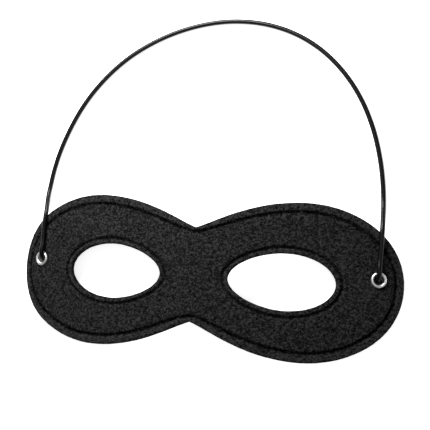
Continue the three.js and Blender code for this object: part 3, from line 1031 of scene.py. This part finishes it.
def knot_line(scene, side):
    """Middle of the cord through the stopper knot, and its radius, from the bore to the cut end."""
    felt, eyelets, cord = scene.domino_felt, scene.domino_eyelets, scene.domino_cord
    sheet = BentSheet(felt)
    frame_at = sheet.eyelet_frame(eyelets, side)
    flange_back = -felt.thickness - eyelets.seat - eyelets.flange_thickness
    top = flange_back - eyelets.seat
    slope = float(sheet.slope(felt.half_length - eyelets.from_end))
    top_height = (frame_at @ Vector((0, 0, top))).z
    depth, overhang = top_height - 0.0002, cord.knot_radius * math.sin(slope)
    half = (depth**2 - overhang**2) / (2 * depth * math.cos(slope))
    middle = top - half
    wide = (cord.knot_radius - cord.knot_strand) / 3
    high = half - cord.knot_strand
    points = [(0, 0, flange_back + 0.7 * MM), (0, 0, top), (0.05 * MM, -0.75 * MM, middle + high)]
    radii = [1.0 * MM, 1.0 * MM, cord.knot_strand]
    for turn in np.linspace(math.pi + 0.42, 3 * math.pi - 0.25, 34):
        x = wide * (math.sin(turn) + 2 * math.sin(2 * turn))
        y = wide * (math.cos(turn) - 2 * math.cos(2 * turn))
        points.append((x, y, middle - high * math.sin(3 * turn)))
        radii.append(cord.knot_strand)
    last = points[-1]
    for share, drift, radius in ((0.3, 0.05, 0.85), (0.55, 0.25, 1.0), (0.8, 0.5, 1.1), (1, 0.65, 1.15)):
        tail = (share * cord.knot_tail, last[1] * (1 - drift), middle + 0.2 * MM * share)
        points.append(tail)
        radii.append(radius * MM)
    turned = Matrix.Rotation(math.pi if side > 0 else 0, 4, "Z")
    places = [frame_at @ (turned @ Vector(point)) for point in points]
    line = spline_points([tuple(place) for place in places], 0.2 * MM)
    known = np.append(0, np.cumsum([(b - a).length for a, b in zip(places, places[1:])]))
    along = np.linspace(0, known[-1], len(line))
    return line, np.interp(along, known, radii)


class DOMINO_OT_knots(bpy.types.Operator):
    """Ties the stopper knots of the cord behind the eyelets"""

    bl_idname = "domino_mask.knots"
    bl_label = "Stopper knots"

    def execute(self, context):
        scene = context.scene
        tint = scene.domino_colours.cord
        material = braid_finish("knotted_cover", tint, turns=6, pitch=0.002, roughness=0.42)
        for name, side in SIDES:
            line, radii = knot_line(scene, side)
            bm = bmesh.new()
            add_tube(bm, line, radii, sides=14, ripple=0.02)
            piece = new_piece(f"stopper_knot_{name}", bm, material)
            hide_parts(f"knot_{name}")
        return {"FINISHED"}


class DOMINO_OT_camera(bpy.types.Operator):
    """Sets the camera at the photograph's viewing angle"""

    bl_idname = "domino_mask.camera"
    bl_label = "Camera"

    def execute(self, context):
        stage = context.scene.domino_stage
        data = bpy.data.cameras.new("photo_angle")
        data.lens = stage.lens
        data.clip_start, data.clip_end = 0.01, 20
        camera = bpy.data.objects.new("photo_angle", data)
        context.scene.collection.objects.link(camera)
        way = Vector(stage.camera_target) - Vector(stage.camera_place)
        turn = way.to_track_quat("-Z", "Y").to_matrix() @ Matrix.Rotation(stage.camera_roll, 3, "Z")
        camera.matrix_world = Matrix.Translation(stage.camera_place) @ turn.to_4x4()
        context.scene.camera = camera
        return {"FINISHED"}


def add_light(scene, name, place, target, power, size):
    data = bpy.data.lights.new(name, "AREA")
    data.shape, data.size, data.energy = "DISK", size, power
    light = bpy.data.objects.new(name, data)
    scene.collection.objects.link(light)
    light.location = place
    light.rotation_euler = (Vector(target) - Vector(place)).to_track_quat("-Z", "Y").to_euler()


class DOMINO_OT_stage(bpy.types.Operator):
    """Lays the pale floor and sets the soft studio lights"""

    bl_idname = "domino_mask.stage"
    bl_label = "Stage"

    def execute(self, context):
        scene, stage = context.scene, context.scene.domino_stage
        bm = bmesh.new()
        bmesh.ops.create_circle(bm, cap_ends=True, segments=96, radius=stage.floor_radius)
        bmesh.ops.translate(bm, verts=bm.verts, vec=(0, 0, -0.00002))
        sheet = BentSheet(scene.domino_felt)
        # Places under the eyelets, where the floor's glow gets painted shade
        frames = [sheet.eyelet_frame(scene.domino_eyelets, side) for _, side in SIDES]
        places = [(frame_at.translation.x, frame_at.translation.y, 0) for frame_at in frames]
        finish = floor_finish(scene.domino_colours, stage.floor_glow, places)
        new_object("pale_floor", mesh_from(bm, "pale_floor"), finish)
        add_light(scene, "key", stage.key_place, stage.lit_spot, stage.key_power, stage.key_size)
        add_light(scene, "fill", stage.fill_place, stage.lit_spot, stage.fill_power, stage.fill_size)
        world = bpy.data.worlds.new("studio")
        world.use_nodes = True
        background = world.node_tree.nodes["Background"]
        background.inputs["Color"].default_value = (1, 1, 1, 1)
        background.inputs["Strength"].default_value = stage.world_light
        scene.world = world
        scene.view_settings.view_transform = "Standard"
        return {"FINISHED"}


PIECES = (
    DOMINO_OT_camera,
    DOMINO_OT_knots,
    DOMINO_OT_cord,
    DOMINO_OT_felt,
    DOMINO_OT_stitching,
    DOMINO_OT_fibres,
    DOMINO_OT_eyelets,
    DOMINO_OT_stage,
)
GROUPS = (
    ("domino_felt", FeltSizes),
    ("domino_eyelets", EyeletSizes),
    ("domino_cord", CordSizes),
    ("domino_colours", MaskColours),
    ("domino_stage", StageSettings),
)


class DOMINO_PT_pieces(bpy.types.Panel):
    """Sizes, colours and pieces of the mask"""

    bl_idname = "DOMINO_PT_pieces"
    bl_label = "Domino Mask"
    bl_space_type = "VIEW_3D"
    bl_region_type = "UI"
    bl_category = "Domino Mask"

    def draw(self, context):
        for piece in PIECES:
            self.layout.operator(piece.bl_idname)
        for name, group in GROUPS:
            box = self.layout.box()
            box.label(text=group.__doc__)
            for field in group.__annotations__:
                box.prop(getattr(context.scene, name), field)


def register():
    for name, group in GROUPS:
        bpy.utils.register_class(group)
        setattr(bpy.types.Scene, name, PointerProperty(type=group))
    for piece in (*PIECES, DOMINO_PT_pieces):
        bpy.utils.register_class(piece)


def unregister():
    for piece in reversed((*PIECES, DOMINO_PT_pieces)):
        bpy.utils.unregister_class(piece)
    for name, group in reversed(GROUPS):
        delattr(bpy.types.Scene, name)
        bpy.utils.unregister_class(group)


def main():
    register()
    bpy.ops.domino_mask.camera()
    bpy.ops.domino_mask.knots()
    bpy.ops.domino_mask.cord()
    bpy.ops.domino_mask.felt()
    bpy.ops.domino_mask.stitching()
    bpy.ops.domino_mask.fibres()
    bpy.ops.domino_mask.eyelets()
    bpy.ops.domino_mask.stage()


if __name__ == "__main__":
    main()
